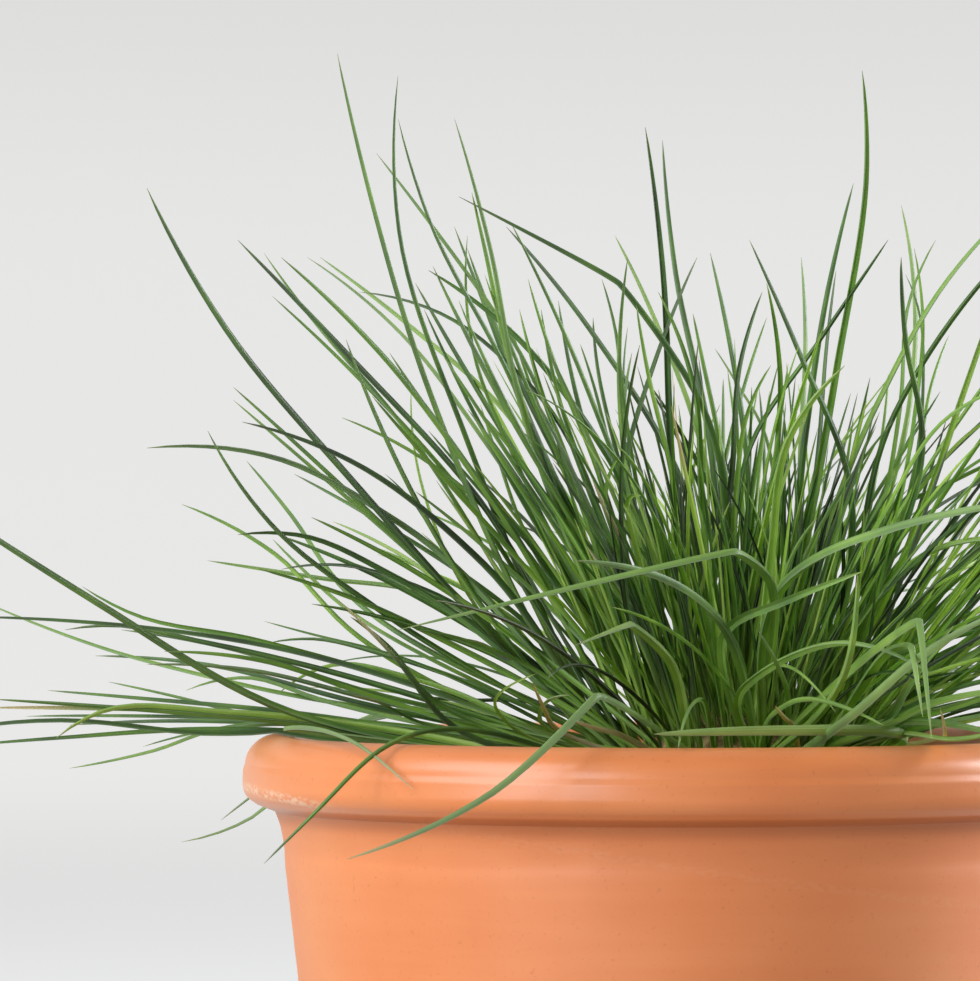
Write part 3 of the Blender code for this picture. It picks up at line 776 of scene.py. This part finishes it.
# In mm, as the rows are: what counts as in front, and how far inside the rim's edge a fold lies
IN_FRONT = -60
ON_THE_RIM = 5


def traced_leaves():
    """Every leaf of the lists: its three points in space from the lowest up, and its make.

    The lower and upper points have a share of the tip's depth, a larger one where the leaf comes
    forward or hangs. Wax is thick on leaves well in front or behind. The listed widths are
    drawn towards a middling one, except those of leaves in front.
    """
    lists = [WHOLE_LEAVES, BENT_LEAVES, FOLDED_LEAVES, HANGING_LEAVES, DRY_TIPPED_LEAVES, STRAW_LEAVES]
    rows = np.array(sum(lists, []))
    group = np.repeat(np.arange(len(lists)), [len(leaves) for leaves in lists])
    bent, folded, hangs, dry_tipped, straw = (group == kind for kind in range(1, 6))
    tip_right, tip_up, upper_right, upper_up, lower_right, lower_up, behind, width, shade = rows.T
    near = behind < IN_FRONT
    lower_share = np.select([hangs, near], [0.92, 0.62], 0.30)
    upper_share = np.select([hangs, folded, near], [1.0, 0.9, 0.86], 0.68)
    on_the_rim = -np.sqrt(np.maximum((RIM_RADIUS / MM - ON_THE_RIM) ** 2 - lower_right**2, 0))
    lower_behind = np.where(folded, on_the_rim, behind * lower_share)
    points = [
        as_seen(lower_right * MM, lower_up * MM, lower_behind * MM),
        as_seen(upper_right * MM, upper_up * MM, behind * upper_share * MM),
        as_seen(tip_right * MM, tip_up * MM, behind * MM),
    ]
    bend = np.column_stack([np.where(folded, 0.15, 1.0), np.where(bent, 0.15, 1.0)])
    wax = 0.06 + 0.15 * np.clip((-behind - 50) / 50, 0, 1) + 0.30 * np.clip((behind - 40) / 30, 0, 1)
    # Folded leaves get thick pale wax, which is partly painted light on their shaded undersides
    wax = np.select([hangs & near, folded], [0.04, 0.42], wax)
    far_width = MIDDLING_WIDTH / MM * (width / 1.6) ** 0.6
    width = np.where(near, width, far_width) * MM
    lift = np.where(hangs | folded, 0.08, 0.4)
    dry = np.select([straw, dry_tipped, folded], [0.95, 0.20, 0.12], 0.04)
    return np.stack(points, axis=1), width, shade / 9, bend, dry, wax, lift


UPRIGHT_COUNTS = 0.7
OFF_THE_WAY_COUNTS = 9.0
AHEAD_COUNTS = 0.35


def share_out(points, bases):
    """Gives each traced leaf to the tuft that faces it best and still has room, in the list's order.

    The fit is the cosine between the tuft's way and the leaf's lowest point, less the distance off
    that way, and more where the leaf goes on in its own direction.
    """
    room = np.full(len(bases), TRACED_IN_A_TUFT)
    ways = unit(np.array([way for _, way in bases]) + UPRIGHT_COUNTS * UPWARD)
    feet = np.array([foot for foot, _ in bases])
    chosen = []
    for lowest, further in points[:, :2]:
        ahead = unit((further - lowest)[:2])
        fit = (unit(lowest - feet) * ways).sum(-1)
        fit -= OFF_THE_WAY_COUNTS * np.linalg.norm(np.cross(ways, lowest - feet), axis=1)
        fit += AHEAD_COUNTS * (unit((lowest - feet)[:, :2]) * ahead).sum(-1)
        fit[room == 0] = -np.inf
        chosen.append(int(np.argmax(fit)))
        room[chosen[-1]] -= 1
    return np.array(chosen)


# How high the mass of leaves stands over the rim, at places right of the axis
CREST_PLACES = np.array([-190, -120, -80, -60, -40, -20, 10, 30, 45, 60, 78, 100, 150, 190]) * MM
CREST_HEIGHTS = np.array([10, 14, 32, 55, 84, 84, 86, 90, 80, 76, 72, 112, 84, 60]) * MM
# Lying leaves and standing ones: how they rise as they are launched, and how far they reach in mm
TRIES_FOR_A_LEAF = 60
LEAF_SPREAD = 0.255
LYING_SHARE = 0.32
LYING_RISE, STANDING_RISE = (-0.05, 0.3), (0.3, 2.0)
LYING_REACH, STANDING_REACH = (105, 195), (60, 180)
LEAST_CLIMB = 0.18
BOW = 0.13
REACH_RIGHT = 188 * MM
REACH_BACK = 178 * MM
LOWEST_TIP = RIM_TOP - 40 * MM


def filling_leaves(chance, foot, way, count):
    """The tuft's other leaves, by seeded chance: the points of each and its launch direction.

    Each leaf aims about where it is launched, sinks with its length as the square of the way along
    and bows a little to one side. Of many tries, those whose tips are seen under the crest are
    kept, but few in front of the clump's middle, and none that hang in front or over the left rim.
    """
    tries = TRIES_FOR_A_LEAF * count
    side = unit(np.cross(way, (0.3, 1.0, 0.2)))
    other = np.cross(way, side)
    spread = LEAF_SPREAD * chance.normal(0, 1, (tries, 2))
    low = chance.random(tries) < LYING_SHARE
    lying, standing = chance.uniform(*LYING_RISE, tries), chance.uniform(*STANDING_RISE, tries)
    rise = np.where(low, lying, standing)[:, None]
    launch = unit(way + rise * UPWARD + spread[:, :1] * side + spread[:, 1:] * other)
    launch[:, 2] = np.maximum(launch[:, 2], LEAST_CLIMB)
    launch = unit(launch)
    lying, standing = chance.uniform(*LYING_REACH, tries), chance.uniform(*STANDING_REACH, tries)
    reach = np.where(low, lying, standing)[:, None, None] * MM
    sink = (0.10 + 0.50 * (1 - launch[:, 2]) ** 2) * chance.uniform(0.5, 1.5 + low, tries)
    bow = unit(np.cross(launch, UPWARD)) * chance.normal(0, BOW, tries)[:, None]
    angle = chance.uniform(0, 2 * np.pi, (tries, 1))
    out = ROOT_SPREAD * np.sqrt(chance.uniform(0, 1, (tries, 1)))
    root = foot + out * (np.cos(angle) * side + np.sin(angle) * other) - way * ROOT_DEPTH
    share = np.array([0.36, 0.70, 1.0])[None, :, None]
    sag = (bow - sink[:, None] * UPWARD)[:, None]
    points = root[:, None] + reach * (launch[:, None] * share + sag * share**2)
    right, back, height = points[:, -1].T
    nearer = (CAMERA_DISTANCE + back) / CAMERA_DISTANCE
    seen_right = right / nearer
    seen_up = CAMERA_OVER_RIM + (height - RIM_TOP - CAMERA_OVER_RIM) / nearer
    to_crest = seen_up / np.interp(seen_right, CREST_PLACES, CREST_HEIGHTS)
    highest, least = chance.uniform(0.6, 1.12, tries), chance.uniform(-0.4, 0.6, tries)
    under = (to_crest < highest) & (to_crest > least)
    screens_the_middle = (back < -55 * MM) & (chance.random(tries) < 0.65)
    within = (np.abs(right) < REACH_RIGHT) & (np.abs(back) < REACH_BACK) & (height > LOWEST_TIP)
    hangs_in_front = (back < -80 * MM) & (height < RIM_TOP + 6 * MM)
    over_left = (seen_right < -45 * MM) & (seen_up < 6 * MM)
    kept = np.flatnonzero(under & within & ~hangs_in_front & ~over_left & ~screens_the_middle)[:count]
    return np.concatenate([root[kept, None], points[kept]], axis=1), launch[kept]


LEAF_GREENS = [(0.0, "#1e3b09"), (0.3, "#487b17"), (0.6, "#81b033"), (0.85, "#a3ca48"), (1.0, "#c2de68")]
# Pale grey green of thick wax, also used for the painted highlight along the margins and keel
LEAF_WAX_AND_HIGHLIGHT = "#aab99c"
# Pale yellow green of the sheaths, lighter than their own colour as painted light at the clump's base
LEAF_SHEATH_AND_LIGHT = "#a6c44e"
LEAF_STRAW = "#d8cba4"
LEAF_GLOW = "#f4ffa0"


def blue_green_leaf():
    """Living fescue leaf with a thin wax on it: a deep green that turns yellow green where light comes
    through, and grey green where the wax is thick and where a painted sheen is laid on like wax. Some
    leaves have dried to straw from their tip.

    The eye sees a painted highlight along the keel and margins, satin streaks along the fibres, paler
    sheaths brightened further by painted light, and neighbouring leaves of slightly unlike greens.
    """
    made, tree, shader, where = new_material("waxy_fescue_leaf")
    facts = ("leaf_tone", "leaf_wax_and_painted_sheen", "leaf_dry", "leaf_run", "leaf_lay")
    tone, wax, dry, run, lay = (add_node(tree, "Attribute", attribute_name=fact) for fact in facts)
    lay = lay.outputs["Vector"]
    fibres = add_node(tree, "TexNoise", {"Vector": lay, "Scale": 9.0, "Detail": 3.0})
    mottle = add_node(tree, "TexNoise", {"Vector": where, "Scale": per_metre(14), "Detail": 2.0})
    unlike = add_node(tree, "Math", {0: fibres, 1: mottle}, operation="ADD")
    toned = {0: unlike, 1: 0.85, 2: tone.outputs["Fac"]}
    shifted = add_node(tree, "Math", toned, operation="MULTIPLY_ADD")
    centred = add_node(tree, "Math", {0: shifted, 1: 0.81}, operation="SUBTRACT")
    green = add_node(tree, "ValToRGB", {"Fac": centred}, stops=LEAF_GREENS)

    # Painted highlight: paler colour along the margins and the keel, where light catches the fold's edges
    across = add_node(tree, "SeparateXYZ", {"Vector": lay}).outputs["X"]
    from_keel = add_node(tree, "Math", {0: across}, operation="ABSOLUTE")
    margin_highlight_range = {"Value": from_keel, "From Min": 0.455, "From Max": 0.50, "To Max": 0.50}
    keel_highlight_range = {"Value": from_keel, "From Max": 0.10, "To Min": 0.22, "To Max": 0.0}
    margin = add_node(tree, "MapRange", margin_highlight_range, **SOFT_ENDS)
    keel = add_node(tree, "MapRange", keel_highlight_range, **SOFT_ENDS)
    paler = add_node(tree, "Math", {0: margin, 1: keel}, operation="ADD")
    wax_and_highlight = add_node(tree, "Math", {0: paler, 1: wax.outputs["Fac"]}, operation="ADD", use_clamp=True)
    waxed_and_highlit = add_node(tree, "Mix", {0: wax_and_highlight, 6: green, 7: linear(LEAF_WAX_AND_HIGHLIGHT)}, data_type="RGBA")

    # Paler sheaths low on each leaf: partly their own paler colour, partly painted light on the clump's
    # shaded base
    sheath_and_light_reach = {"From Min": 0.08, "From Max": 0.42, "To Min": 0.40, "To Max": 0.0}
    sheath = add_node(tree, "MapRange", {"Value": run.outputs["Fac"], **sheath_and_light_reach}, **SOFT_ENDS)
    sheathed_and_lit = add_node(tree, "Mix", {0: sheath, 6: waxed_and_highlit, 7: linear(LEAF_SHEATH_AND_LIGHT)}, data_type="RGBA")
    dried = add_node(tree, "Mix", {0: dry.outputs["Fac"], 6: sheathed_and_lit, 7: linear(LEAF_STRAW)}, data_type="RGBA")
    satin = {"Value": fibres, "From Min": 0.3, "From Max": 0.7, "To Min": 0.36, "To Max": 0.54}
    gloss = add_node(tree, "MapRange", satin)
    veins = add_node(tree, "Bump", {"Strength": 0.25, "Distance": 0.05 * MM, "Height": fibres})
    wire(tree, shader, {"Base Color": dried, "Roughness": gloss, "Normal": veins})

    tint = {0: 1.0, 6: dried, 7: linear(LEAF_GLOW)}
    glow = add_node(tree, "Mix", tint, data_type="RGBA", blend_type="MULTIPLY")
    let_through = add_node(tree, "BsdfTranslucent", {"Color": glow})
    leaf = add_node(tree, "MixShader", {0: 0.43, 1: shader, 2: let_through})
    wire(tree, tree.nodes["Material Output"], {"Surface": leaf})
    return made


# Pale wax added far from the crown: partly wax, partly painted sheen
FAR_WAX_AND_SHEEN = 0.16
DRYING_EDGE = 0.12
TURN, TWIST = 0.5, 0.7
FILLING_WIDTHS = (0.6, 1.3)
FILLING_TONES = (-0.2, 1.15)
USUAL_WAX, MOST_WAX = 0.06, 0.7
USUAL_DRY, DRIED, DRIED_SHARE = 0.05, 0.25, 0.04


def grow(name, lines, make, material):
    """Makes one tuft's leaves into a piece and writes each leaf's shade and dryness on its corners.

    Wax grows along each leaf, and further with the distance from the crown, where it is partly wax and
    partly painted sheen. Straw reaches down from the tip.
    """
    width, turn, twist = make[:, :3].T
    tone, wax, dry = make[:, 3:].T[..., None, None]
    points = folded_leaves(lines, width, turn, twist)
    piece = surface(name, points, leaf_faces(len(lines)), material)
    piece.data.set_sharp_from_angle(angle=np.radians(MARGIN_SHARP))
    shape = points.shape[:3]
    run = np.linspace(0, 1, LEAF_STEPS)[None, :, None]
    out = np.linalg.norm(points - CROWN_CENTRE, axis=-1)
    facts = {
        "leaf_tone": tone,
        # Wax along the leaf, plus more far from the crown that is partly painted sheen
        "leaf_wax_and_painted_sheen": wax * (0.4 + 0.9 * run) + FAR_WAX_AND_SHEEN * np.clip((out - 75 * MM) / (110 * MM), 0, 1),
        "leaf_run": run,
        "leaf_dry": np.clip((run - 1 + dry) / DRYING_EDGE, 0, 1),
    }
    for fact, values in facts.items():
        layer = piece.data.attributes.new(fact, "FLOAT", "POINT")
        layer.data.foreach_set("value", np.broadcast_to(values, shape).astype(np.float32).ravel())
    leaf = np.arange(len(lines))[:, None, None]
    parts = [np.broadcast_to(part, shape) for part in (FOLD[:, 0], run * 0.25, leaf * 1.7)]
    layer = piece.data.attributes.new("leaf_lay", "FLOAT_VECTOR", "POINT")
    layer.data.foreach_set("vector", np.stack(parts, axis=-1).astype(np.float32).ravel())
    return piece


leaf_finish = blue_green_leaf()
bases = [tuft_base(name) for name in TUFTS]
seen_points, seen_width, seen_tone, seen_bend, seen_dry, seen_wax, seen_lift = traced_leaves()
owner = share_out(seen_points, bases)
for number, (name, (foot, way)) in enumerate(zip(TUFTS, bases)):
    chance = np.random.default_rng(500 + number)
    mine = np.flatnonzero(owner == number)
    points, launch = filling_leaves(chance, foot, way, LEAVES_IN_A_TUFT - len(mine))
    extra = len(points)
    count = len(mine) + extra
    root = foot - way * ROOT_DEPTH + ROOT_SPREAD * 0.6 * chance.uniform(-1, 1, (len(mine), 3))
    traced = np.concatenate([root[:, None], seen_points[mine]], axis=1)
    towards = unit(unit(traced[:, 1] - root) + seen_lift[mine, None] * way)
    lines = through(
        np.concatenate([traced, points]),
        np.concatenate([towards, launch]),
        np.concatenate([seen_bend[mine], np.ones((extra, 2))]),
    )
    width = np.concatenate([seen_width[mine], FILLING_WIDTH * chance.uniform(*FILLING_WIDTHS, extra)])
    turn, twist = chance.normal(0, TURN, count), chance.normal(0, TWIST, count)
    tone = np.concatenate([seen_tone[mine], chance.uniform(*FILLING_TONES, extra)])
    wax = chance.exponential(USUAL_WAX, count) + np.concatenate([seen_wax[mine], np.zeros(extra)])
    dried = chance.random(extra) < DRIED_SHARE
    dry = np.concatenate([seen_dry[mine], np.where(dried, DRIED, USUAL_DRY)])
    make = np.column_stack([width, turn, twist, tone, np.clip(wax, 0, MOST_WAX), dry])
    piece = grow(name.replace("leaf_tuft", "fescue_tuft"), lay_over_rim(lines), make, leaf_finish)
    stand_for(piece, "fescue_leaf", name)

# The studio: a seamless sweep of white acrylic, lit from behind as product studios have it, a broad
# window on the left with a skylight over it, a bright wall behind the plant with a lamp on its right,
# and a dark room behind the camera, which stood well back with a long lens.
FLOOR_RADIUS = 4.2
WALL_RADIUS = 8.0
WALL_HEIGHT = 7.0
SWEEP_SHADE = 0.40
FLOOR_GLOW = 0.50
WALL_GLOW = 0.66
GLOW_GROWS = (2.2, 4.6)
WALL_FADE = (0.38, 0.78, -0.075)
PICTURE_HEIGHT = 981
FOCAL_PIXELS = 8670.0
SENSOR = 36.0
AXIS_RIGHT_OF_MIDDLE = 185.5
HORIZON_ABOVE_MIDDLE = 42.5
ROOM_WHITE = "#fffaf2"
DARK_ROOM = 0.38
BRIGHT_WALL = 0.85
DIM_CEILING = -0.31


def studio_sweep():
    """The floor's disc and the wall's quarter round, turned about the pot's axis."""
    bend = WALL_RADIUS - FLOOR_RADIUS
    round_up = arc((FLOOR_RADIUS, bend), (bend, bend), -90, 0, 40)
    return turned_grid(np.vstack([[[0.0, 0.0]], round_up, [[WALL_RADIUS, WALL_HEIGHT]]]), 96)


def lit_acrylic():
    """Matt white acrylic with lamps behind it: an even pale glow that still takes a soft shadow.

    The glow grows with the distance from the pot and fades a little up the wall.
    """
    made, tree, shader, where = new_material("lit_white_acrylic")
    distance = add_node(tree, "VectorMath", {0: where}, operation="LENGTH")
    near, far = GLOW_GROWS
    growing = {"From Min": near, "From Max": far, "To Min": FLOOR_GLOW, "To Max": WALL_GLOW}
    glow = add_node(tree, "MapRange", {"Value": distance, **growing}, **SOFT_ENDS)
    height = add_node(tree, "SeparateXYZ", {"Vector": where}).outputs["Z"]
    low, high, change = WALL_FADE
    fading = {"Value": height, "From Min": low, "From Max": high, "To Max": change}
    fade = add_node(tree, "MapRange", fading, **SOFT_ENDS)
    strength = add_node(tree, "Math", {0: glow, 1: fade}, operation="ADD")
    matt = {"Base Color": (*[SWEEP_SHADE] * 3, 1.0), "Roughness": 1.0, "Specular IOR Level": 0.0}
    wire(tree, shader, {**matt, "Emission Color": (1.0, 1.0, 1.0, 1.0), "Emission Strength": strength})
    return made


sweep_grid = studio_sweep()
sweep_faces = [face[::-1] for face in turned_faces(*sweep_grid.shape[:2], closed=False)]
sweep = surface("studio_sweep", sweep_grid, sweep_faces, lit_acrylic())
merge_poles(sweep)
sweep.visible_diffuse = False
sweep.visible_glossy = False
sweep.visible_transmission = False
sweep.visible_shadow = False

# The light in the room goes from the dark room on the camera's side, the minus Y, to the bright wall
world = bpy.data.worlds.new("studio_room")
bpy.context.scene.world = world
world.use_nodes = True
room = world.node_tree
way = add_node(room, "TexCoord").outputs["Generated"]
parts = add_node(room, "SeparateXYZ", {"Vector": way})
backwards = {"From Min": -0.25, "From Max": 0.75, "To Min": DARK_ROOM, "To Max": BRIGHT_WALL}
back_wall = add_node(room, "MapRange", {"Value": parts.outputs["Y"], **backwards}, **SOFT_ENDS)
ceiling = add_node(room, "MapRange", {"Value": parts.outputs["Z"], "To Max": DIM_CEILING}, **SOFT_ENDS)
light = add_node(room, "Math", {0: back_wall, 1: ceiling}, operation="ADD")
wire(room, room.nodes["Background"], {"Color": linear(ROOM_WHITE), "Strength": light})


def softbox(name, bearing, rise, distance, size, power, colour):
    """A lamp of this width and height, facing the clump at a bearing right of the camera's side."""
    lamp = bpy.data.lights.new(name, "AREA")
    lamp.shape = "RECTANGLE"
    lamp.size, lamp.size_y = size
    lamp.energy = power
    lamp.color = linear(colour)[:3]
    made = bpy.data.objects.new(name, lamp)
    bpy.context.scene.collection.objects.link(made)
    turn = np.radians(bearing)
    level = distance * np.cos(np.radians(rise))
    offset = Vector((level * np.sin(turn), -level * np.cos(turn), distance * np.sin(np.radians(rise))))
    made.location = Vector((0, 0, RIM_TOP)) + offset
    made.rotation_euler = (-offset).to_track_quat("-Z", "Y").to_euler()
    made.visible_camera = False


softbox("window_left", -36, 10, 3.0, (2.0, 1.6), 54, "#f0f7ff")
softbox("skylight", -58, 38, 3.0, (2.0, 1.8), 60, "#f4f9ff")
softbox("lamp_right", 112, 20, 2.4, (1.2, 1.2), 84, "#f2f8ff")

lens = bpy.data.cameras.new("camera")
lens.sensor_width = SENSOR
lens.lens = FOCAL_PIXELS / PICTURE_HEIGHT * SENSOR
lens.clip_end = 100
camera = bpy.data.objects.new("camera", lens)
bpy.context.scene.collection.objects.link(camera)
camera.location = (0, -CAMERA_DISTANCE, RIM_TOP + CAMERA_OVER_RIM)
camera.rotation_euler = (
    np.pi / 2 - np.arctan(HORIZON_ABOVE_MIDDLE / FOCAL_PIXELS),
    0,
    np.arctan(AXIS_RIGHT_OF_MIDDLE / FOCAL_PIXELS),
)
bpy.context.scene.camera = camera
bpy.context.scene.view_settings.view_transform = "Standard"
